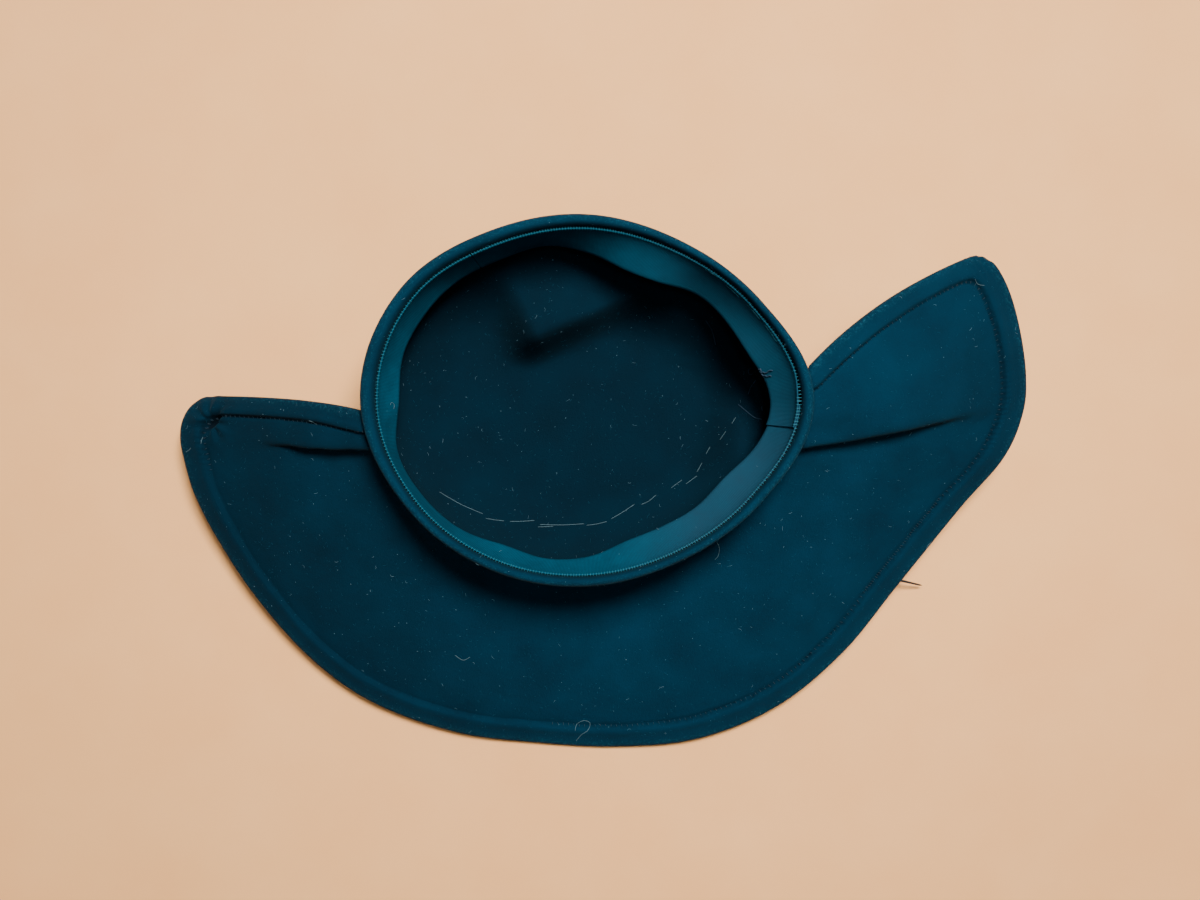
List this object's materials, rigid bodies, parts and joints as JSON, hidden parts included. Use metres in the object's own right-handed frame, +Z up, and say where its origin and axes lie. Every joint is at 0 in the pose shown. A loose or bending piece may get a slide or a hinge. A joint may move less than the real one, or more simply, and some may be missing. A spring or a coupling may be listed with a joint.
{
  "type": "tilt hat",
  "caption": "Felt tilt hat lying crown down: shallow bowl crown, folded rim, ribbed sweatband, wide swept half brim with a turned edge, and a thin feather quill under the brim.",
  "frame": {"origin": "centre of the hat's box on the table it lies on, crown down", "axes": "+X along the brim from its left tip to its right tip, +Y from the brim's lower edge towards the open back of the crown, +Z up out of the head opening"},
  "size_m": [0.3728, 0.2317, 0.062],
  "materials": {
    "crown_felt": "brushed wool felt, matt",
    "brim_felt": "brushed wool felt, matt",
    "ribbon": "ribbed ribbon, soft sheen",
    "quill": "smooth dark feather shaft"
  },
  "bodies": {
    "root": {"crown": "crown_felt", "brim": "brim_felt", "sweatband_long": "ribbon", "sweatband_short": "ribbon", "quill": "quill"}
  },
  "joints": []
}
